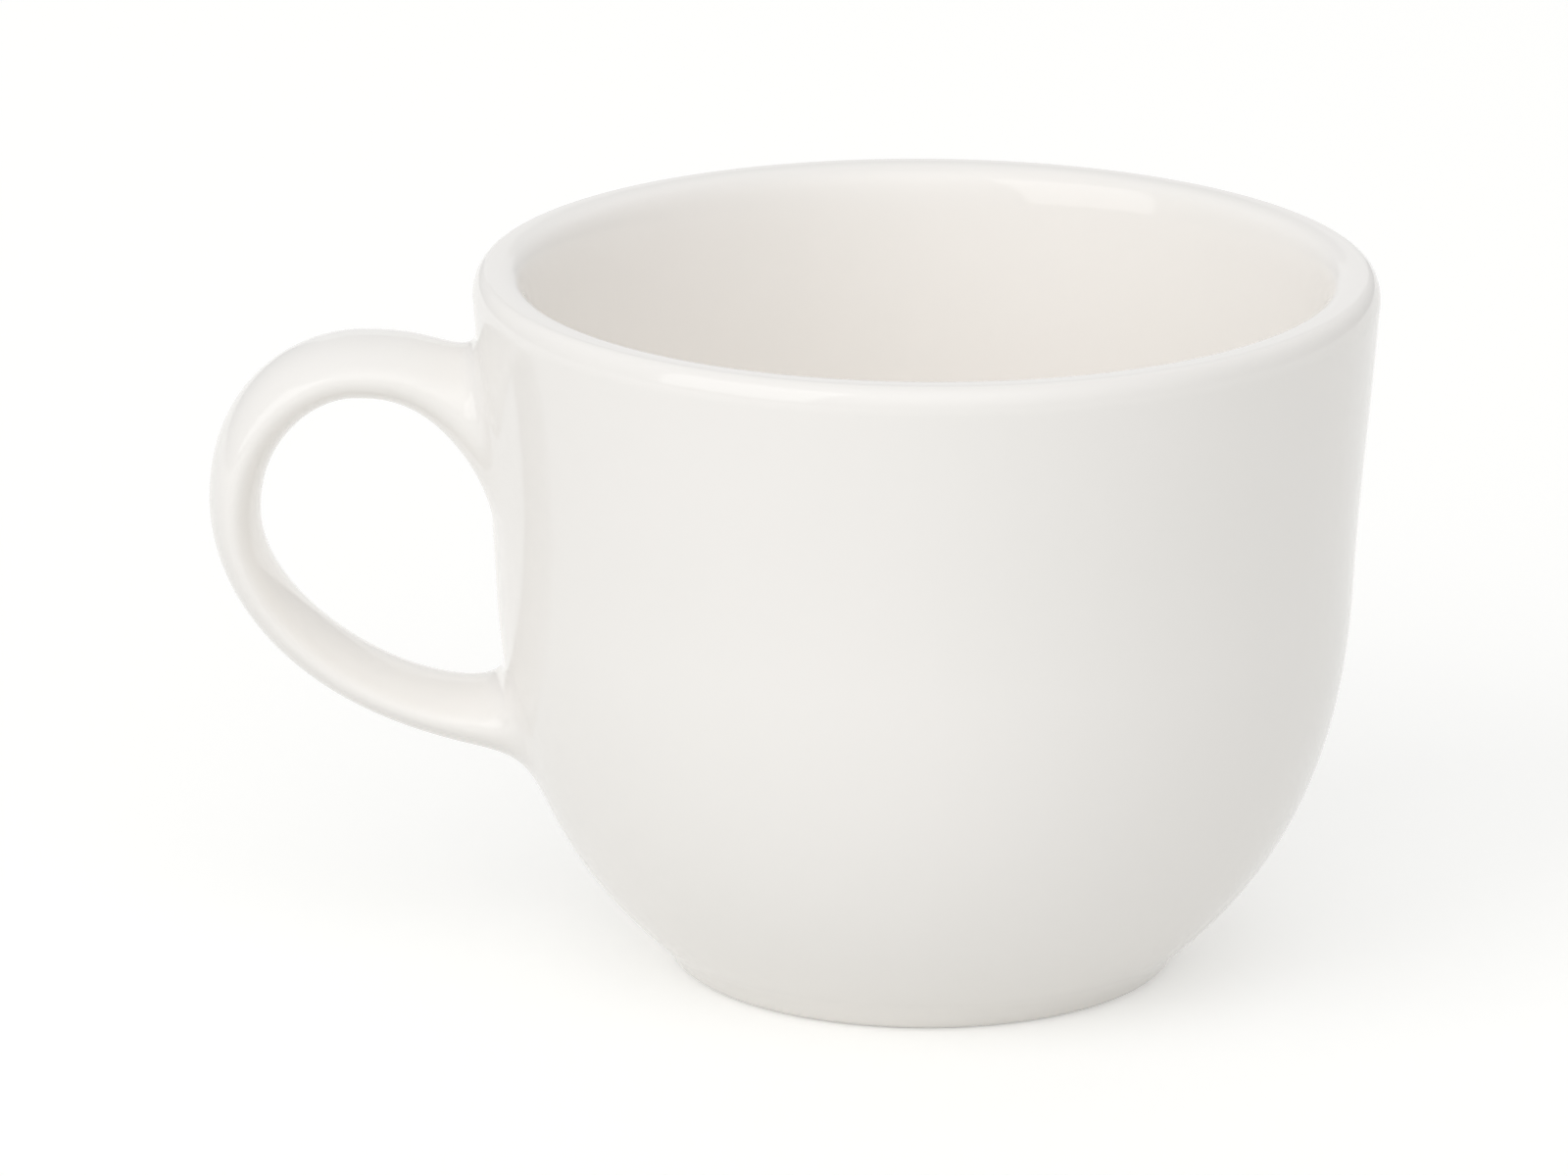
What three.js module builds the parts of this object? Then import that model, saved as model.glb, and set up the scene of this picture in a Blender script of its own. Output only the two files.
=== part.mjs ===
// Espresso cup of glazed porcelain. The bowl and its foot ring are turned in one piece.
// The handle is cast by itself and stuck to the wall with slip at two places.
// Millimetres, +Z up. The cup stands on z = 0 and its handle points along -X.
// The origin lies on the table under the middle of the cup's whole length, handle included.

import * as THREE from "three";

// Driving dimensions
const lipDiameter = 65;
const cupHeight = 51.4;
const wallThickness = 3.2;
const footDiameter = 35.8;
const handleStandOut = 20.2; // from the wall to the handle's outermost face
const handleHeight = 30.9; // from the top of the loop down to the end of its lower root
const handleDrop = 5.05; // from the lip down to the top of the loop
const handleWidth = 10.8;
const seatClearance = 0.3; // between pieces that sit on each other

const { lerp, degToRad } = THREE.MathUtils;

// The point at the given shares of the box that runs from one point to another.
function inBox(from, to, shareAcross, shareUp) {
  return new THREE.Vector2(lerp(from.x, to.x, shareAcross), lerp(from.y, to.y, shareUp));
}

// The point at a distance along a line that leans outwards from upright by an angle in degrees.
function along(point, lean, distance) {
  const angle = degToRad(lean);
  return new THREE.Vector2(point.x + distance * Math.sin(angle), point.y + distance * Math.cos(angle));
}

function middleOf(from, to) {
  return inBox(from, to, 0.5, 0.5);
}

function curveBetween(start, startPull, endPull, end) {
  return new THREE.CubicBezierCurve(start, startPull, endPull, end);
}

// Bowl
// One closed outline in radius and height is turned round the axis: underside, outside, lip and inside.
const bowlSegments = 72;
const footHeight = 1.8;
const footLean = 36; // degrees from upright
const footEdge = 0.7;
const footRingWidth = 2.8;
const footRecess = 1.8;
const recessCove = 0.9;
const innerFootEdge = 0.4;
const floorThickness = 4;
const waistDiameter = 61.8;
const waistHeight = 28.2;
const bowlLean = 48.6; // of the outside just above the foot
const waistLean = 2.6;
const lipLean = 4; // of the outside just below the lip
const lipThickness = 4.2; // at the foot of the lip's inner side
const lipOuterWidth = 1.1;
const lipOuterHeight = 1.8;
const lipInnerHeight = 5;
const lipCrestShare = 0.67;
const bowlStartShare = 0.26;
const bowlEndShare = 0.57;
const wallStartShare = 0.38;
const wallEndShare = 0.41;
const heelShare = 0.82;
const steps = { edge: 4, bowl: 11, wall: 6, lip: 5, innerLip: 8, innerWall: 4, innerBowl: 10 };

const lipRadius = lipDiameter / 2;
const footRadius = footDiameter / 2;
const footInnerRadius = footRadius - footRingWidth;
const floorHeight = footRecess + floorThickness;

const footStart = new THREE.Vector2(footRadius, 0);
const footCorner = along(footStart, footLean, footEdge);
const footTop = along(footStart, footLean, footHeight / Math.cos(degToRad(footLean)));
const waist = new THREE.Vector2(waistDiameter / 2, waistHeight);
const lipCentre = new THREE.Vector2(lipRadius - lipOuterWidth, cupHeight - lipOuterHeight);
const lipStartAngle = Math.atan((Math.tan(degToRad(lipLean)) * lipOuterHeight) / lipOuterWidth);
const lipStart = new THREE.Vector2(
  lipCentre.x + lipOuterWidth * Math.cos(lipStartAngle),
  lipCentre.y - lipOuterHeight * Math.sin(lipStartAngle),
);
const bowlRise = waist.y - footTop.y;
const wallRise = lipStart.y - waist.y;

// Underside: the recess, its cove, the ring's inner side and the flat that the cup stands on.
const underside = new THREE.Path()
  .moveTo(0, footRecess)
  .lineTo(footInnerRadius - recessCove, footRecess)
  .quadraticCurveTo(footInnerRadius, footRecess, footInnerRadius, footRecess - recessCove)
  .lineTo(footInnerRadius, innerFootEdge)
  .quadraticCurveTo(footInnerRadius, 0, footInnerRadius + innerFootEdge, 0)
  .getPoints(steps.edge);

// Outside: the foot's rounded edge and leaning side, the full bowl, and the wall that opens to the lip.
const footFlat = new THREE.Vector2(footRadius - footEdge, 0);
const footEdgeCurve = new THREE.QuadraticBezierCurve(footFlat, footStart, footCorner);
const bowlCurve = curveBetween(
  footTop,
  along(footTop, bowlLean, bowlStartShare * bowlRise),
  along(waist, waistLean, -bowlEndShare * bowlRise),
  waist,
);
const wallCurve = curveBetween(
  waist,
  along(waist, waistLean, wallStartShare * wallRise),
  along(lipStart, lipLean, -wallEndShare * wallRise),
  lipStart,
);
const outside = [
  ...footEdgeCurve.getPoints(steps.edge),
  ...bowlCurve.getPoints(steps.bowl),
  ...wallCurve.getPoints(steps.wall).slice(1),
];

// Lip: an upright quarter oval outside. Inside, one slow curve falls from the crest into the inner wall.
const crest = new THREE.Vector2(lipCentre.x, cupHeight);
const innerLip = new THREE.Vector2(lipRadius - lipThickness, cupHeight - lipInnerHeight);
const lipOutside = new THREE.EllipseCurve(
  lipCentre.x, lipCentre.y, lipOuterWidth, lipOuterHeight, -lipStartAngle, Math.PI / 2,
);
const lipInside = curveBetween(
  crest,
  inBox(crest, innerLip, lipCrestShare, 0),
  along(innerLip, lipLean, lipInnerHeight),
  innerLip,
);
const lip = [...lipOutside.getPoints(steps.lip).slice(1), ...lipInside.getPoints(steps.innerLip).slice(1)];

// Inside: the wall follows the outside at the wall's thickness, then the bowl rounds into the floor.
const innerWaist = new THREE.Vector2(waist.x - wallThickness, waist.y);
const floorCentre = new THREE.Vector2(0, floorHeight);
const innerRise = innerLip.y - innerWaist.y;
const innerWall = curveBetween(
  innerLip,
  along(innerLip, lipLean, -wallEndShare * innerRise),
  along(innerWaist, waistLean, wallStartShare * innerRise),
  innerWaist,
);
const innerBowl = curveBetween(
  innerWaist,
  along(innerWaist, waistLean, -bowlEndShare * (innerWaist.y - floorHeight)),
  new THREE.Vector2(heelShare * innerWaist.x, floorHeight),
  floorCentre,
);
const inside = [
  ...innerWall.getPoints(steps.innerWall).slice(1),
  ...innerBowl.getPoints(steps.innerBowl).slice(1),
];

function makeBowl() {
  const outline = [...underside, ...outside, ...lip, ...inside];
  return new THREE.LatheGeometry(outline, bowlSegments).rotateX(Math.PI / 2);
}

// The outside's radius at a height, measured at a distance out from the wall.
function wallRadius(height, standOff) {
  const found = outside.findIndex((point) => point.y > height);
  const above = Math.max(found < 0 ? outside.length - 1 : found, 1);
  const low = outside[above - 1];
  const high = outside[above];
  const slope = (high.x - low.x) / (high.y - low.y);
  return low.x + slope * (height - low.y) + standOff * Math.hypot(1, slope);
}

// Handle
// Two side-view rails are the loop's outer and inner edge.
// Each runs from the wall over the crown and the grip back to the wall, and oval sections lie between them.
// A rail point is a distance out from the cup's axis and a height.
const crownStandOut = 8.05; // from the wall to the highest point of the outer rail
const crownThickness = 4.3;
const crownShift = 0.7; // the inner rail's highest point lies this much farther out
const gripDrop = 12.1; // from the top of the loop down to its outermost point
const gripThickness = 3.7;
const gripShift = 1.1; // the inner rail's outermost point lies this much lower
const upperRootDrop = 1.05; // from the top of the loop down to where the outer rail meets the wall
const upperRootHeight = 10.9;
const lowerRootHeight = 5.7;
const rootWidth = 12.2;
const rootFlare = 6; // the length over which a root narrows to the handle's width
const handleSides = 24;
const ringsPerStretch = [7, 9, 11];
const faceShares = [0.25, 0.65, 1]; // of a root's face, from its middle to its edge
const halvings = 40;
const outerRailShares = {
  rootOut: 0.44, rootUp: 0.295, crownIn: 0.515, crownOut: 0.465,
  gripUp: 0.685, gripDown: 0.34, endOut: 0.775, endUp: 0.14,
};
const innerRailShares = {
  rootOut: 0.375, rootUp: 1.055, crownIn: 0.15, crownOut: 0.35,
  gripUp: 0.675, gripDown: 0.725, endOut: 0.21, endUp: -0.275,
};

// Which stretch of the rails a root ends, and at which end of that stretch the wall is.
const upperRoot = { stretch: 0, wallEnd: 0 };
const lowerRoot = { stretch: 2, wallEnd: 1 };

const loopTop = cupHeight - handleDrop;
const gripHeight = loopTop - gripDrop;
const handleReach = wallRadius(gripHeight, handleStandOut);
const crownReach = wallRadius(loopTop, 0) + crownStandOut;

function onWall(height) {
  return new THREE.Vector2(wallRadius(height, 0), height);
}

// Three stretches: root to crown, crown to grip, grip to the lower root.
function railThrough(root, crown, grip, end, shares) {
  const leaveRoot = inBox(root, crown, shares.rootOut, shares.rootUp);
  const meetCrown = inBox(crown, root, shares.crownIn, 0);
  const leaveCrown = inBox(crown, grip, shares.crownOut, 0);
  const meetGrip = inBox(grip, crown, 0, shares.gripUp);
  const leaveGrip = inBox(grip, end, 0, shares.gripDown);
  const meetEnd = inBox(end, grip, shares.endOut, shares.endUp);
  return [
    curveBetween(root, leaveRoot, meetCrown, crown),
    curveBetween(crown, leaveCrown, meetGrip, grip),
    curveBetween(grip, leaveGrip, meetEnd, end),
  ];
}

const upperRootTop = loopTop - upperRootDrop;
const lowerRootBottom = loopTop - handleHeight;
const outerRail = railThrough(
  onWall(upperRootTop),
  new THREE.Vector2(crownReach, loopTop),
  new THREE.Vector2(handleReach, gripHeight),
  onWall(lowerRootBottom),
  outerRailShares,
);
const innerRail = railThrough(
  onWall(upperRootTop - upperRootHeight),
  new THREE.Vector2(crownReach + crownShift, loopTop - crownThickness),
  new THREE.Vector2(handleReach - gripThickness, gripHeight - gripShift),
  onWall(lowerRootBottom + lowerRootHeight),
  innerRailShares,
);

// Where an end stretch of a rail lies at a distance from the wall, found by halving.
function leavesWall(stretch, wallEnd, standOff) {
  let near = wallEnd;
  let far = 1 - wallEnd;
  for (let halving = 0; halving < halvings; halving += 1) {
    const middle = (near + far) / 2;
    const point = stretch.getPoint(middle);
    if (point.x < wallRadius(point.y, standOff)) near = middle;
    else far = middle;
  }
  return near;
}

function halfWidthAt(point) {
  const away = Math.min((point.x - wallRadius(point.y, 0)) / rootFlare, 1);
  return lerp(rootWidth, handleWidth, 1 - (1 - away) ** 2) / 2;
}

// An oval ring between an outer and an inner rail point.
// The place function turns a side-view point and a distance off the middle plane into a point in space.
function ovalRing(outer, inner, halfWidth, place) {
  const ring = [];
  for (let side = 0; side < handleSides; side += 1) {
    const angle = (2 * Math.PI * side) / handleSides;
    const share = (1 - Math.cos(angle)) / 2;
    ring.push(place(inBox(outer, inner, share, share), halfWidth * Math.sin(angle)));
  }
  return ring;
}

function freeRing(outer, inner) {
  const halfWidth = halfWidthAt(middleOf(outer, inner));
  return ovalRing(outer, inner, halfWidth, (point, y) => new THREE.Vector3(-point.x, y, point.y));
}

// A ring that lies on the wall's own curve at a distance from it.
// The growth widens its outline all round, and the size shrinks the whole ring towards its middle.
function rootRing(root, standOff, growth, size) {
  const [outer, inner] = [outerRail, innerRail].map((rail) => {
    const stretch = rail[root.stretch];
    return stretch.getPoint(leavesWall(stretch, root.wallEnd, standOff));
  });
  const middle = middleOf(outer, inner);
  const reach = size * (1 + (2 * growth) / outer.distanceTo(inner));
  return ovalRing(
    inBox(middle, outer, reach, reach),
    inBox(middle, inner, reach, reach),
    size * (halfWidthAt(middle) + growth),
    (point, y) => new THREE.Vector3(-Math.sqrt(wallRadius(point.y, standOff) ** 2 - y ** 2), y, point.y),
  );
}

// The rings of a root's face, from its middle out to its edge.
function faceRings(root, standOff, growth) {
  return faceShares.map((share) => rootRing(root, standOff, growth, share));
}

// A closed skin over rings of equal count. The first and the last ring close over themselves.
function skin(rings) {
  const count = handleSides;
  const faces = [];
  for (let start = 0; start < (rings.length - 1) * count; start += count) {
    for (let side = 0; side < count; side += 1) {
      const here = start + side;
      const next = start + ((side + 1) % count);
      faces.push(here, next, here + count, next, next + count, here + count);
    }
  }
  const last = (rings.length - 1) * count;
  for (let side = 1; side < count - 1; side += 1) {
    faces.push(0, side + 1, side, last, last + side, last + side + 1);
  }
  const geometry = new THREE.BufferGeometry().setFromPoints(rings.flat());
  geometry.setIndex(faces);
  geometry.computeVertexNormals();
  return geometry;
}

// Slip joints
// The slip that held the handle before firing is a thin saddle between wall and root.
// It is wiped to a hollow fillet round the root.
const slipThickness = 0.6;
const slipFillet = 1.4;
const slipLayers = 3;

const rootStandOff = slipThickness + 2 * seatClearance;

// How far the hollow fillet reaches past the root's outline at a distance from the wall.
function filletGrowth(distance) {
  const below = Math.max(slipFillet - distance, 0);
  return slipFillet - Math.sqrt(slipFillet ** 2 - below ** 2);
}

function makeSlipJoint(root) {
  const wallSide = seatClearance;
  const handleSide = seatClearance + slipThickness;
  const rings = faceRings(root, wallSide, filletGrowth(wallSide));
  for (let layer = 1; layer < slipLayers; layer += 1) {
    const distance = lerp(wallSide, handleSide, layer / slipLayers);
    rings.push(rootRing(root, distance, filletGrowth(distance), 1));
  }
  rings.push(...faceRings(root, handleSide, filletGrowth(handleSide)).reverse());
  return skin(root === upperRoot ? rings : rings.reverse());
}

// Handle's solid
// The rings run from one root's face to the other's, with both rails stepped alike along each stretch.
function makeHandle() {
  const loop = [];
  ringsPerStretch.forEach((count, index) => {
    const spans = [outerRail[index], innerRail[index]].map((stretch) => ({
      stretch,
      from: index === upperRoot.stretch ? leavesWall(stretch, upperRoot.wallEnd, rootStandOff) : 0,
      to: index === lowerRoot.stretch ? leavesWall(stretch, lowerRoot.wallEnd, rootStandOff) : 1,
    }));
    for (let step = 1; step <= count; step += 1) {
      const ends = spans.map(({ stretch, from, to }) => stretch.getPoint(lerp(from, to, step / count)));
      loop.push(freeRing(...ends));
    }
  });
  loop.pop();
  const upperFace = faceRings(upperRoot, rootStandOff, 0);
  const lowerFace = faceRings(lowerRoot, rootStandOff, 0).reverse();
  return skin([...upperFace, ...loop, ...lowerFace]);
}

// Assembly
const glaze = { roughness: 0.12, metalness: 0 };

function piece(name, geometry, color) {
  const mesh = new THREE.Mesh(geometry, new THREE.MeshStandardMaterial({ color, ...glaze }));
  mesh.name = name;
  return mesh;
}

const cup = new THREE.Group();
cup.position.x = (handleReach - lipRadius) / 2;
cup.add(
  piece("cup_body", makeBowl(), 0xf1efe8),
  piece("handle", makeHandle(), 0xf1efe7),
  piece("upper_slip_joint", makeSlipJoint(upperRoot), 0xefece3),
  piece("lower_slip_joint", makeSlipJoint(lowerRoot), 0xefece3),
);

export default cup;
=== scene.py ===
import math

import bpy
import numpy as np
from mathutils import Matrix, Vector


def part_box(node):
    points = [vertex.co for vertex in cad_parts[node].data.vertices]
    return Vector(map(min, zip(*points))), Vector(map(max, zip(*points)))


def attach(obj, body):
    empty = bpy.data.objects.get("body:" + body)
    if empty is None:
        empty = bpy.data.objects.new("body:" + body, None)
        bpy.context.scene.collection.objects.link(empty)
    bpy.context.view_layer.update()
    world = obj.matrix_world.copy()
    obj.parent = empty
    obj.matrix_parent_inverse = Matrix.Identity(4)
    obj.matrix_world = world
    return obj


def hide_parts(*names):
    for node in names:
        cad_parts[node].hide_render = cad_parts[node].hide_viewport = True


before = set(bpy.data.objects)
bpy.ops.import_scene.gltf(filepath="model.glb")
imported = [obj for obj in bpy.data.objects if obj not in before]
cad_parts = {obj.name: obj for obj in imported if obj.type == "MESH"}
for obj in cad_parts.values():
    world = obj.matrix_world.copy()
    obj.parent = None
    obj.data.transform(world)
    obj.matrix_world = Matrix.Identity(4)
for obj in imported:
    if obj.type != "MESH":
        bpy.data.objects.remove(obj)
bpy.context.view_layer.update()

# Bowl
# The bowl, its lip and its foot ring are one piece of porcelain, roller-formed on a plaster mould, sponged
# smooth and dipped in clear glaze. The glaze rounds every edge of the clay.
MM = 0.001  # metres in a millimetre
LIP_RADIUS, CUP_HEIGHT = 32.49, 51.4
WALL, FLOOR_HEIGHT = 3.2, 5.8
FOOT_RADIUS, FOOT_HEIGHT, FOOT_LEAN = 17.9, 1.8, math.radians(36)
FOOT_INNER_RADIUS, FOOT_RECESS, RECESS_COVE = 15.1, 1.8, 0.9
FOOT_EDGE, INNER_FOOT_EDGE, FOOT_BREAK = 0.7, 0.4, 0.9
WAIST_RADIUS, WAIST_HEIGHT = 30.9, 28.2
BOWL_LEAN, WAIST_LEAN, LIP_LEAN = math.radians(48.6), math.radians(2.6), math.radians(4)
LIP_OUT_WIDTH, LIP_OUT_HEIGHT, LIP_IN_WIDTH, LIP_IN_HEIGHT = 1.1, 1.8, 3.1, 5.0
# How far each curve of the outline pulls along its ends, as shares of its rise or width.
BOWL_FOOT_SHARE, BOWL_WAIST_SHARE = 0.26, 0.57
WALL_WAIST_SHARE, WALL_LIP_SHARE = 0.38, 0.41
CREST_SHARE, FLOOR_SHARE = 0.67, 0.82
BOWL_SIDES = 288

body_low, body_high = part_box("cup_body")
axis_x = (body_low.x + body_high.x) / 2


def along(point, lean, distance):
    """The point at a distance along a line that leans outwards from upright by an angle."""
    return np.array(point) + distance * np.array([math.sin(lean), math.cos(lean)])


def bezier(points, count):
    """Points along a Bezier curve: each control point times its Bernstein term, summed."""
    t = np.linspace(0, 1, count)[:, None]
    degree = len(points) - 1
    return sum(math.comb(degree, k) * (1 - t) ** (degree - k) * t**k * np.array(point, float)
               for k, point in enumerate(points))


def oval(centre, width, height, start, end, count):
    """Points of an oval: the centre plus width times the cosine and height times the sine of an angle."""
    angle = np.linspace(start, end, count)
    return np.array(centre) + np.stack([width * np.cos(angle), height * np.sin(angle)], 1)


def skin(name, rings, first_pole, last_pole):
    """A closed smooth mesh over a grid of points, rings by sides, in millimetres about the cup's axis. Each
    side joins one ring to the next with a quad, and a fan of triangles joins each end ring to its pole."""
    count, sides = rings.shape[:2]
    points = np.vstack([rings.reshape(-1, 3), first_pole, last_pole]) * MM
    points[:, 0] += axis_x
    here = np.arange(count * sides).reshape(count, sides)
    after = np.roll(here, -1, axis=1)
    quads = np.stack([here[:-1], after[:-1], after[1:], here[1:]], -1).reshape(-1)
    first = np.stack([np.full(sides, count * sides), after[0], here[0]], -1).reshape(-1)
    last = np.stack([np.full(sides, count * sides + 1), here[-1], after[-1]], -1).reshape(-1)
    corners = np.concatenate([quads, first, last])
    sizes = np.concatenate([np.full((count - 1) * sides, 4), np.full(2 * sides, 3)])
    mesh = bpy.data.meshes.new(name)
    mesh.vertices.add(len(points))
    mesh.vertices.foreach_set("co", points.astype(np.float32).ravel())
    mesh.loops.add(len(corners))
    mesh.loops.foreach_set("vertex_index", corners.astype(np.int32))
    mesh.polygons.add(len(sizes))
    mesh.polygons.foreach_set("loop_start", (np.cumsum(sizes) - sizes).astype(np.int32))
    mesh.polygons.foreach_set("use_smooth", np.ones(len(sizes), bool))
    mesh.update(calc_edges=True)
    mesh.validate()
    piece = bpy.data.objects.new(name, mesh)
    bpy.context.scene.collection.objects.link(piece)
    return piece


# The points that the outline's curves join, in radius and height.
foot_flat = [(FOOT_INNER_RADIUS + INNER_FOOT_EDGE, 0), (FOOT_RADIUS - FOOT_EDGE, 0)]
foot_side = along((FOOT_RADIUS, 0), FOOT_LEAN, FOOT_EDGE)
foot_top = along((FOOT_RADIUS, 0), FOOT_LEAN, FOOT_HEIGHT / math.cos(FOOT_LEAN))
waist = np.array([WAIST_RADIUS, WAIST_HEIGHT])
inner_waist = waist - (WALL, 0)
crest = np.array([LIP_RADIUS - LIP_OUT_WIDTH, CUP_HEIGHT])
inner_lip = crest - (LIP_IN_WIDTH, LIP_IN_HEIGHT)

# The underside, from its middle over the recess and the bare ring to the foot's side.
recess = bezier([(0, FOOT_RECESS), (FOOT_INNER_RADIUS - RECESS_COVE, FOOT_RECESS)], count=16)
cove = bezier([(FOOT_INNER_RADIUS - RECESS_COVE, FOOT_RECESS), (FOOT_INNER_RADIUS, FOOT_RECESS),
               (FOOT_INNER_RADIUS, FOOT_RECESS - RECESS_COVE)], count=9)
inner_foot_edge = bezier([(FOOT_INNER_RADIUS, INNER_FOOT_EDGE), (FOOT_INNER_RADIUS, 0), foot_flat[0]],
                         count=7)
contact_ring = bezier(foot_flat, count=6)
foot_edge = bezier([foot_flat[1], (FOOT_RADIUS, 0), foot_side], count=9)

# The outside, from the break over the foot to the lip's crest.
lip_start = math.atan(math.tan(LIP_LEAN) * LIP_OUT_HEIGHT / LIP_OUT_WIDTH)
lip_outside = oval((LIP_RADIUS - LIP_OUT_WIDTH, CUP_HEIGHT - LIP_OUT_HEIGHT), LIP_OUT_WIDTH, LIP_OUT_HEIGHT,
                   -lip_start, math.pi / 2, count=28)
bowl_rise, wall_rise = WAIST_HEIGHT - foot_top[1], lip_outside[0, 1] - WAIST_HEIGHT
outer_bowl = bezier([foot_top, along(foot_top, BOWL_LEAN, BOWL_FOOT_SHARE * bowl_rise),
                     along(waist, WAIST_LEAN, -BOWL_WAIST_SHARE * bowl_rise), waist], count=64)
outer_bowl = outer_bowl[outer_bowl[:, 1] > along(foot_top, BOWL_LEAN, FOOT_BREAK)[1]]
foot_break = bezier([along(foot_top, FOOT_LEAN, -FOOT_BREAK), foot_top, outer_bowl[0]], count=12)
outer_wall = bezier([waist, along(waist, WAIST_LEAN, WALL_WAIST_SHARE * wall_rise),
                     along(lip_outside[0], LIP_LEAN, -WALL_LIP_SHARE * wall_rise), lip_outside[0]],
                    count=32)

# The inside, from the crest down to the middle of the floor.
lip_inside = bezier([crest, crest - (CREST_SHARE * LIP_IN_WIDTH, 0),
                     along(inner_lip, LIP_LEAN, LIP_IN_HEIGHT), inner_lip], count=48)
inner_rise = inner_lip[1] - WAIST_HEIGHT
inner_wall = bezier([inner_lip, along(inner_lip, LIP_LEAN, -WALL_LIP_SHARE * inner_rise),
                     along(inner_waist, WAIST_LEAN, WALL_WAIST_SHARE * inner_rise), inner_waist], count=30)
floor_pull = along(inner_waist, WAIST_LEAN, -BOWL_WAIST_SHARE * (WAIST_HEIGHT - FLOOR_HEIGHT))
inner_bowl = bezier([inner_waist, floor_pull, (FLOOR_SHARE * inner_waist[0], FLOOR_HEIGHT),
                     (0, FLOOR_HEIGHT)], count=64)

outline = np.vstack([
    recess[1:], cove[1:], inner_foot_edge, contact_ring[1:], foot_edge[1:],
    foot_break, outer_bowl[1:], outer_wall[1:], lip_outside[1:],
    lip_inside[1:], inner_wall[1:], inner_bowl[1:-1],
])
turn = np.linspace(0, 2 * math.pi, BOWL_SIDES, endpoint=False)
radius, height = outline[:, :1], outline[:, 1:]
bowl_rings = np.stack([radius * np.cos(turn), radius * np.sin(turn), np.repeat(height, BOWL_SIDES, 1)], -1)
bowl = skin("bowl", bowl_rings, (0, 0, FOOT_RECESS), (0, 0, FLOOR_HEIGHT))


def linear(code):
    """The linear colour of an sRGB hex code. Each share is raised to 2.4 after an offset, or divided by
    12.92 where it is dark."""
    shares = [int(code[i:i + 2], 16) / 255 for i in (1, 3, 5)]
    return [s / 12.92 if s <= 0.04045 else ((s + 0.055) / 1.055) ** 2.4 for s in shares] + [1]


def add_node(material, kind, settings=None, **links):
    """A new node of a kind with its settings. Each link's name is an input, with _ for a space, or i and a
    number, and its value is an output socket or a plain value."""
    node = material.node_tree.nodes.new(kind)
    for key, value in (settings or {}).items():
        setattr(node, key, value)
    for key, value in links.items():
        numbered = key[0] == "i" and key[1:].isdigit()
        socket = node.inputs[int(key[1:]) if numbered else key.replace("_", " ")]
        if isinstance(value, bpy.types.NodeSocket):
            material.node_tree.links.new(value, socket)
        else:
            socket.default_value = value
    return node


# Glazed porcelain is a dense warm white under a clear, mirror-smooth glass. It gives a bright even body
# with sharp, pale reflections. The glaze pools and thins by a few hundredths of a millimetre, which bends
# long reflections a little and shifts the tone by a trace.
POOLING_WIDTH, RIPPLE_WIDTH, RIPPLE_HEIGHT = 22 * MM, 6 * MM, 0.4 * MM
glaze = bpy.data.materials.new("glazed_porcelain")
glaze.use_nodes = True
glaze_shader = glaze.node_tree.nodes["Principled BSDF"]
glaze_place = add_node(glaze, "ShaderNodeTexCoord").outputs["Object"]
pooling = add_node(glaze, "ShaderNodeTexNoise", {"noise_dimensions": "3D"}, Vector=glaze_place,
                   Scale=1 / POOLING_WIDTH, Detail=2.0, Roughness=0.5)
glaze_tone = add_node(glaze, "ShaderNodeMix", {"data_type": "RGBA"}, Factor=pooling.outputs["Fac"],
                      i6=linear("#FAF8F4"), i7=linear("#FDFAF7"))
ripple = add_node(glaze, "ShaderNodeTexNoise", {"noise_dimensions": "3D"}, Vector=glaze_place,
                  Scale=1 / RIPPLE_WIDTH, Detail=1.0, Roughness=0.4)
ripple_bump = add_node(glaze, "ShaderNodeBump", None, Height=ripple.outputs["Fac"], Strength=0.05,
                       Distance=RIPPLE_HEIGHT)
glaze.node_tree.links.new(glaze_tone.outputs[2], glaze_shader.inputs["Base Color"])
glaze.node_tree.links.new(ripple_bump.outputs["Normal"], glaze_shader.inputs["Normal"])
glaze_shader.inputs["Roughness"].default_value = 0.07
glaze_shader.inputs["IOR"].default_value = 1.5
bowl.data.materials.append(glaze)

# The foot's contact ring is wiped bare before firing so that it doesn't stick to the kiln shelf. Unglazed
# porcelain is matt, a little darker and creamier than the glazed body, with a fine grain.
GRAIN_WIDTH, GRAIN_HEIGHT, BARE_BELOW = 0.4 * MM, 0.05 * MM, 0.02 * MM
bare = bpy.data.materials.new("bare_porcelain")
bare.use_nodes = True
bare_shader = bare.node_tree.nodes["Principled BSDF"]
bare_place = add_node(bare, "ShaderNodeTexCoord").outputs["Object"]
grain = add_node(bare, "ShaderNodeTexNoise", {"noise_dimensions": "3D"}, Vector=bare_place,
                 Scale=1 / GRAIN_WIDTH, Detail=2.0, Roughness=0.6)
bare_tone = add_node(bare, "ShaderNodeMix", {"data_type": "RGBA"}, Factor=grain.outputs["Fac"],
                     i6=linear("#DDD7CA"), i7=linear("#EAE5DA"))
grain_bump = add_node(bare, "ShaderNodeBump", None, Height=grain.outputs["Fac"], Strength=0.3,
                      Distance=GRAIN_HEIGHT)
bare.node_tree.links.new(bare_tone.outputs[2], bare_shader.inputs["Base Color"])
bare.node_tree.links.new(grain_bump.outputs["Normal"], bare_shader.inputs["Normal"])
bare_shader.inputs["Roughness"].default_value = 0.7
bowl.data.materials.append(bare)
face_middles = np.empty(3 * len(bowl.data.polygons), np.float32)
bowl.data.polygons.foreach_get("center", face_middles)
bowl.data.polygons.foreach_set("material_index", (face_middles[2::3] < BARE_BELOW).astype(np.int32))

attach(bowl, "root")
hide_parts("cup_body")

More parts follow.
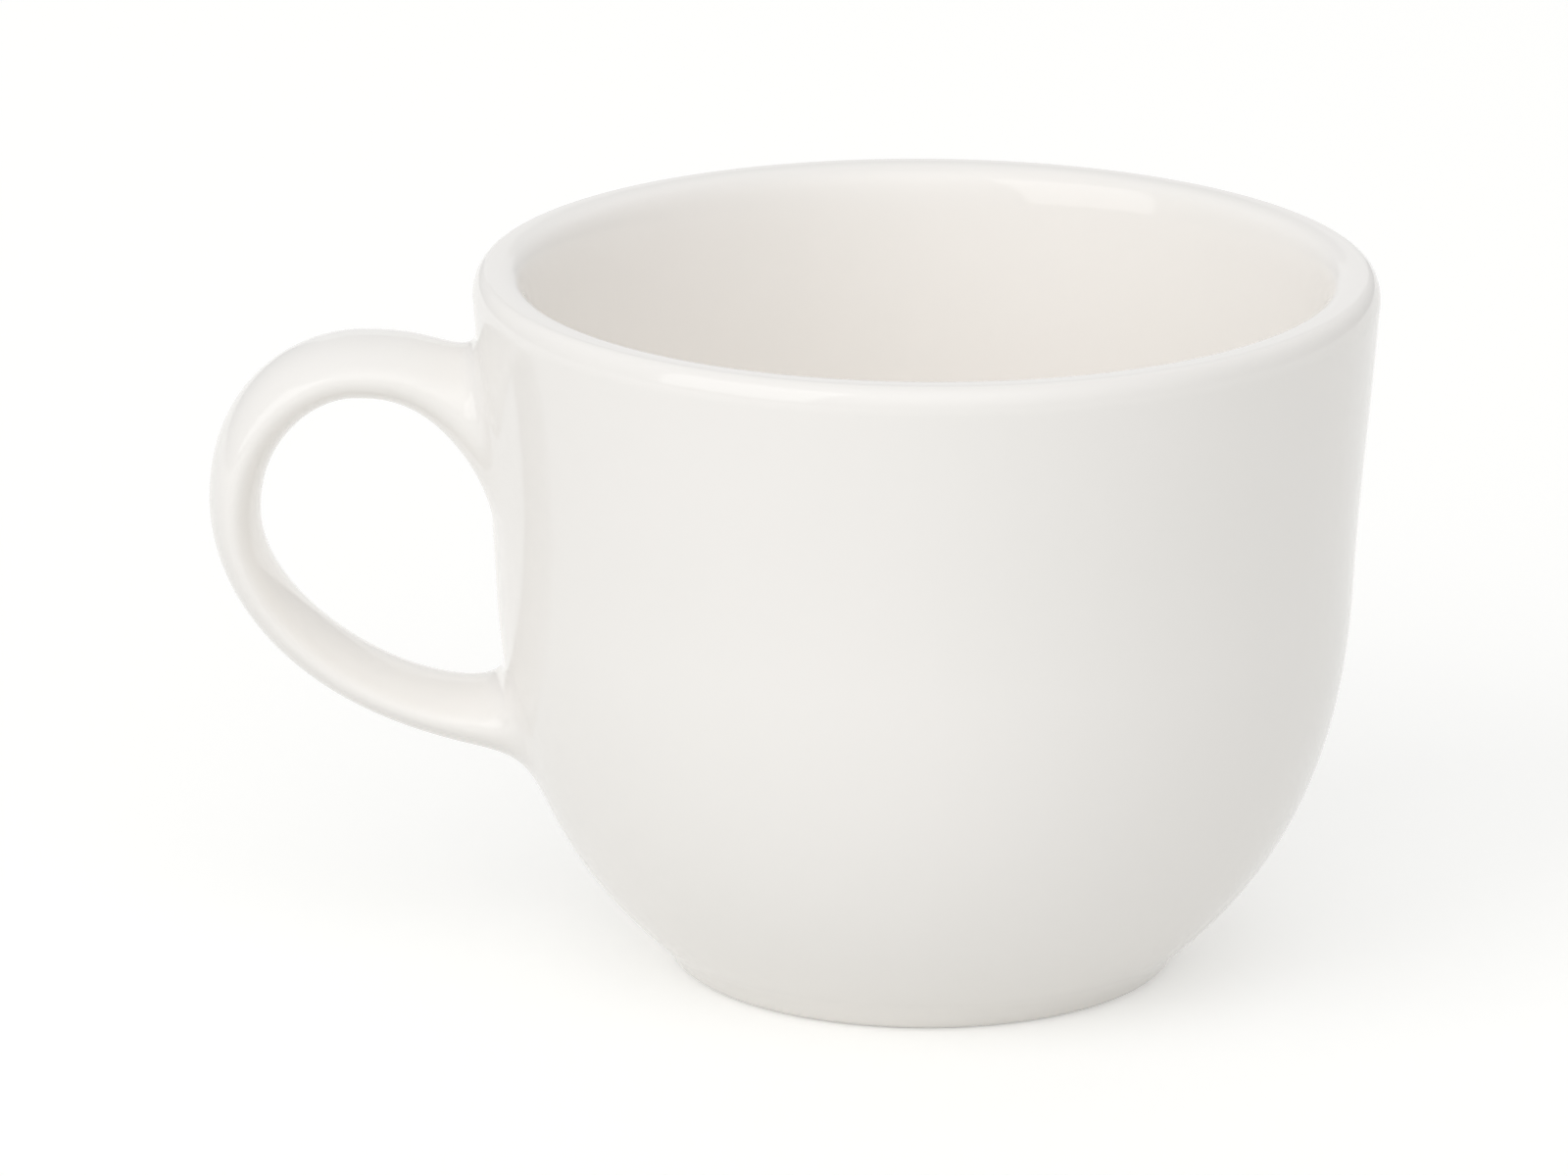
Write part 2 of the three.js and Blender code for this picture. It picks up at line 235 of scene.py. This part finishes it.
# Handle
# The handle is slip-cast in a two-part mould, trimmed to the wall and stuck on with slip. The slip is wiped
# to a hollow fillet, and the glaze runs over it without a seam, so that handle and slip show as one piece.
HANDLE_WIDTH, ROOT_WIDTH, ROOT_FLARE = 10.8, 12.2, 6.0
LOOP_DROP, LOOP_HEIGHT = 5.05, 30.9
CROWN_OUT, CROWN_THICKNESS, CROWN_SHIFT = 8.05, 4.3, 0.7
GRIP_DROP, GRIP_OUT, GRIP_THICKNESS, GRIP_SHIFT = 12.1, 20.24, 3.7, 1.1
ROOT_DROP, UPPER_ROOT_HEIGHT, LOWER_ROOT_HEIGHT, ROOT_DEPTH = 1.05, 10.9, 5.7, 0.5
OUTER_SHARES = (0.44, 0.295, 0.515, 0.465, 0.685, 0.34, 0.775, 0.14)
INNER_SHARES = (0.375, 1.055, 0.15, 0.35, 0.675, 0.725, 0.21, -0.275)
# A fillet's reach at the outer edge, the sides and the inner edge of its root.
UPPER_FILLETS, LOWER_FILLETS = (2.2, 4.4, 1.2), (4.2, 4.0, 2.2)
FILLET_POWER = 2.5
# Rings that carry a fillet on under the wall's surface: the distance off it, and the growth past the reach.
UNDER_WALL = ((-ROOT_DEPTH, 2.0), (-0.03, 1.2), (-0.01, 0.6), (-0.004, 0.25))
# Along the loop, t goes from 0 at the upper root to 3 at the lower one. Each span starts inside the wall
# and ends out on the free loop.
UPPER_SPAN, LOWER_SPAN = (-0.3, 0.9), (3.3, 2.1)
HANDLE_SIDES, LOOP_RINGS, FILLET_RINGS, HALVINGS = 96, 150, 17, 36

outside = np.vstack([foot_break, outer_bowl[1:], outer_wall[1:]])


def wall(height):
    """The bowl's outer radius at a height, read off its outline."""
    return np.interp(height, outside[:, 1], outside[:, 0])


def on_wall(height):
    """The side-view point of the wall at a height: the radius there, and the height."""
    return wall(height), height


def rail(root, crown, grip, end, shares):
    """Three cubic curves in a row: root to crown, crown to grip, grip to the lower root. Each pull lies at
    a share of the box between its curve's ends."""
    root, crown, grip, end = (np.array(point, float) for point in (root, crown, grip, end))
    root_out, root_up, crown_in, crown_out, grip_up, grip_down, end_out, end_up = shares
    return np.array([
        [root, root + (crown - root) * (root_out, root_up), crown + (root - crown) * (crown_in, 0), crown],
        [crown, crown + (grip - crown) * (crown_out, 0), grip + (crown - grip) * (0, grip_up), grip],
        [grip, grip + (end - grip) * (0, grip_down), end + (grip - end) * (end_out, end_up), end],
    ])


def rail_at(stretches, t):
    """The side-view point of a rail at t, which grows by one over each cubic curve."""
    index = np.clip(np.floor(t).astype(int), 0, len(stretches) - 1)
    done = (t - index)[..., None]
    left = 1 - done
    points = stretches[index]
    return (left**3 * points[..., 0, :] + 3 * done * left**2 * points[..., 1, :]
            + 3 * done**2 * left * points[..., 2, :] + done**3 * points[..., 3, :])


loop_top = CUP_HEIGHT - LOOP_DROP
grip_height, root_top, root_bottom = loop_top - GRIP_DROP, loop_top - ROOT_DROP, loop_top - LOOP_HEIGHT
reach, crown = wall(grip_height) + GRIP_OUT, wall(loop_top) + CROWN_OUT
outer_rail = rail(on_wall(root_top), (crown, loop_top), (reach, grip_height), on_wall(root_bottom),
                  OUTER_SHARES)
inner_rail = rail(on_wall(root_top - UPPER_ROOT_HEIGHT), (crown + CROWN_SHIFT, loop_top - CROWN_THICKNESS),
                  (reach - GRIP_THICKNESS, grip_height - GRIP_SHIFT),
                  on_wall(root_bottom + LOWER_ROOT_HEIGHT), INNER_SHARES)


def loop_surface(t, angle):
    """A point of the loop, as distance out, across and up. The section at t is an oval between the two
    rails, whose width grows towards the wall as the square of what is left of the flare."""
    outer, inner = rail_at(outer_rail, t), rail_at(inner_rail, t)
    middle, half = (outer + inner) / 2, (outer - inner) / 2
    away = np.minimum((middle[..., 0] - wall(middle[..., 1])) / ROOT_FLARE, 1)
    half_width = (HANDLE_WIDTH + (ROOT_WIDTH - HANDLE_WIDTH) * (1 - away) ** 2) / 2
    side_view = middle + half * np.cos(angle)[..., None]
    return side_view[..., 0], half_width * np.sin(angle), side_view[..., 1]


def where_off_wall(distance, angle, span):
    """The t at which the loop's surface leaves the wall by a distance, found by halving the span for all
    points at once."""
    near, far = np.full(angle.shape, span[0]), np.full(angle.shape, span[1])
    for _ in range(HALVINGS):
        middle = (near + far) / 2
        out, across, up = loop_surface(middle, angle)
        inside = np.hypot(out, across) - wall(up) < distance
        near, far = np.where(inside, middle, near), np.where(inside, far, middle)
    return near


around = np.linspace(0, 2 * math.pi, HANDLE_SIDES, endpoint=False)[None]


def fillet_reach(fillets):
    """The fillet's reach round a root. It runs from the sides' to the outer and the inner edge's as the
    squared cosine."""
    outer_fillet, side_fillet, inner_fillet = fillets
    return (side_fillet + (outer_fillet - side_fillet) * np.maximum(np.cos(around), 0) ** 2
            + (inner_fillet - side_fillet) * np.minimum(np.cos(around), 0) ** 2)


def root_rings(span, half_height, fillets):
    """Rings from inside the wall out over the hollow fillet. At a share of the way up, the distance off the
    wall is the share to a power times the reach, and the outline grows by the same power of what is left.
    The root's half height is negative where its outer edge is the lower one."""
    fillet = fillet_reach(fillets)
    climb = np.linspace(0, 1, FILLET_RINGS)[:, None]
    under = np.array(UNDER_WALL)[..., None]
    off = np.vstack([under[:, 0] + 0 * around, fillet * climb**FILLET_POWER])
    growth = np.vstack([fillet + under[:, 1], fillet * (1 - climb) ** FILLET_POWER])
    angle = np.repeat(around, len(off), 0)
    out, across, up = loop_surface(where_off_wall(np.maximum(off, 0), angle, span), angle)
    normal = np.stack([np.sin(angle) / (ROOT_WIDTH / 2), np.cos(angle) / half_height])
    normal /= np.linalg.norm(normal, axis=0)
    across, up = across + growth * normal[0], up + growth * normal[1]
    return np.stack([-np.sqrt((wall(up) + off) ** 2 - across**2), across, up], -1)


upper_half, lower_half = UPPER_ROOT_HEIGHT / 2, -LOWER_ROOT_HEIGHT / 2
upper_rings = root_rings(UPPER_SPAN, upper_half, UPPER_FILLETS)
lower_rings = root_rings(LOWER_SPAN, lower_half, LOWER_FILLETS)
upper_join = where_off_wall(fillet_reach(UPPER_FILLETS), around, UPPER_SPAN)
lower_join = where_off_wall(fillet_reach(LOWER_FILLETS), around, LOWER_SPAN)
share = np.linspace(0, 1, LOOP_RINGS)[1:-1, None]
loop_t = upper_join * (1 - share) + lower_join * share
out, across, up = loop_surface(loop_t, np.repeat(around, len(loop_t), 0))
loop_rings = np.stack([-out, across, up], -1)
poles = [(-(wall(height) - ROOT_DEPTH), 0, height)
         for height in (root_top - upper_half, root_bottom - lower_half)]
handle = skin("handle_loop", np.concatenate([upper_rings, loop_rings, lower_rings[::-1]]), *poles)
handle.data.materials.append(glaze)

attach(handle, "root")
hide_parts("handle", "upper_slip_joint", "lower_slip_joint")

# Floor
# The table top is covered with a sheet of white paper. It looks white to the camera and in reflections, and
# it keeps the cup's soft shadow.
PAPER_REACH, PAPER_DROP, PAPER_GLOW = 4000 * MM, 0.05 * MM, 0.33
floor_mesh = bpy.data.meshes.new("table_top")
floor_corners = [(-PAPER_REACH, -PAPER_REACH, -PAPER_DROP), (PAPER_REACH, -PAPER_REACH, -PAPER_DROP),
                 (PAPER_REACH, PAPER_REACH, -PAPER_DROP), (-PAPER_REACH, PAPER_REACH, -PAPER_DROP)]
floor_mesh.from_pydata(floor_corners, [], [(0, 1, 2, 3)])
floor = bpy.data.objects.new("table_top", floor_mesh)
bpy.context.scene.collection.objects.link(floor)
paper = bpy.data.materials.new("white_paper")
paper.use_nodes = True
paper_shader = paper.node_tree.nodes["Principled BSDF"]
paper_shader.inputs["Base Color"].default_value = linear("#E6E6E4")
paper_shader.inputs["Roughness"].default_value = 0.9
rays = add_node(paper, "ShaderNodeLightPath").outputs
seen = add_node(paper, "ShaderNodeMath", {"operation": "ADD"}, i0=rays["Is Camera Ray"],
                i1=rays["Is Glossy Ray"])
seen = add_node(paper, "ShaderNodeMath", {"operation": "ADD", "use_clamp": True}, i0=seen.outputs["Value"],
                i1=rays["Is Transmission Ray"])
paper.node_tree.links.new(seen.outputs["Value"], paper_shader.inputs["Emission Strength"])
paper_shader.inputs["Emission Color"].default_value = (PAPER_GLOW, PAPER_GLOW, PAPER_GLOW, 1)
floor_mesh.materials.append(paper)

# Light
# A tent of white cloth stands round the table, as for small glossy products, and is lit from outside. It
# glows most over the camera, and also behind the cup, where a low strip is a little brighter. One softbox
# stands at the front left.
TENT_GLOW, SPREAD_POWER = 0.4, 8.0
# Where the cloth glows more: azimuth and elevation in degrees, and by how much. Azimuth 0 is the camera's
# side and 90 the right.
GLOWS = ((0, 60, 0.64), (180, 60, 0.3), (0, 32, 0.8), (45, 32, 0.21), (135, 32, 0.37), (-135, 32, 0.26),
         (-135, 6, 0.09), (180, 6, 0.26))
SOFTBOX_DISTANCE, SOFTBOX_AIM_HEIGHT = 2500 * MM, 30 * MM


def direction(azimuth, elevation):
    """The unit vector from the cup towards an azimuth and an elevation in radians."""
    return np.array([math.sin(azimuth) * math.cos(elevation), -math.cos(azimuth) * math.cos(elevation),
                     math.sin(elevation)])


world = bpy.data.worlds.new("cloth_tent")
bpy.context.scene.world = world
world.use_nodes = True
tent = world.node_tree.nodes["Background"]
tent.inputs["Color"].default_value = (1, 1, 1, 1)
toward = add_node(world, "ShaderNodeTexCoord").outputs["Generated"]
glow = TENT_GLOW
for azimuth, elevation, strength in GLOWS:
    facing = add_node(world, "ShaderNodeVectorMath", {"operation": "DOT_PRODUCT"}, i0=toward,
                      i1=direction(math.radians(azimuth), math.radians(elevation)))
    facing = add_node(world, "ShaderNodeMath", {"operation": "MAXIMUM"}, i0=facing.outputs["Value"], i1=0.0)
    spread = add_node(world, "ShaderNodeMath", {"operation": "POWER"}, i0=facing.outputs["Value"],
                      i1=SPREAD_POWER)
    glow = add_node(world, "ShaderNodeMath", {"operation": "MULTIPLY_ADD"}, i0=spread.outputs["Value"],
                    i1=strength, i2=glow).outputs["Value"]
world.node_tree.links.new(glow, tent.inputs["Strength"])


def softbox(name, azimuth, elevation, across, high, strength):
    """A rectangular lamp that faces the cup's middle and spans two angles as seen from there, in degrees.
    Each side is twice the distance times the tangent of half its angle."""
    azimuth, elevation = math.radians(azimuth), math.radians(elevation)
    lamp = bpy.data.lights.new(name, "AREA")
    lamp.shape = "RECTANGLE"
    lamp.size = 2 * SOFTBOX_DISTANCE * math.tan(math.radians(across / 2))
    lamp.size_y = 2 * SOFTBOX_DISTANCE * math.tan(math.radians(high / 2))
    lamp.energy = strength * lamp.size * lamp.size_y * math.pi
    lamp_object = bpy.data.objects.new(name, lamp)
    place = SOFTBOX_DISTANCE * direction(azimuth, elevation) + (axis_x, 0, SOFTBOX_AIM_HEIGHT)
    lamp_object.matrix_world = (Matrix.Translation(place) @ Matrix.Rotation(azimuth, 4, "Z")
                                @ Matrix.Rotation(math.pi / 2 - elevation, 4, "X"))
    lamp_object.visible_camera = False
    bpy.context.scene.collection.objects.link(lamp_object)


softbox("left_softbox", azimuth=-50, elevation=28, across=42, high=44, strength=1.3)
softbox("backdrop_strip", azimuth=180, elevation=8, across=24, high=18, strength=0.2)

# A white bowl throws light round inside itself more often than the four times that Cycles follows it by
# default.
BOUNCES = 12
bpy.context.scene.cycles.diffuse_bounces = BOUNCES
bpy.context.scene.cycles.glossy_bounces = BOUNCES

# Camera
# The photograph is taken from the front, a little above the lip, with a long lens.
CAMERA_PLACE = (-10.12, -775.03, 258.61)
CAMERA_TILT, CAMERA_ROLL = math.radians(16.605), math.radians(0.203)
camera_data = bpy.data.cameras.new("camera")
camera_data.sensor_width, camera_data.lens = 36, 257.39
camera_data.clip_start, camera_data.clip_end = 0.05, 20
camera = bpy.data.objects.new("camera", camera_data)
camera.matrix_world = (Matrix.Translation(np.array(CAMERA_PLACE) * MM + (axis_x, 0, 0))
                       @ Matrix.Rotation(math.pi / 2 - CAMERA_TILT, 4, "X")
                       @ Matrix.Rotation(CAMERA_ROLL, 4, "Z"))
bpy.context.scene.collection.objects.link(camera)
bpy.context.scene.camera = camera
bpy.context.scene.view_settings.view_transform = "Standard"
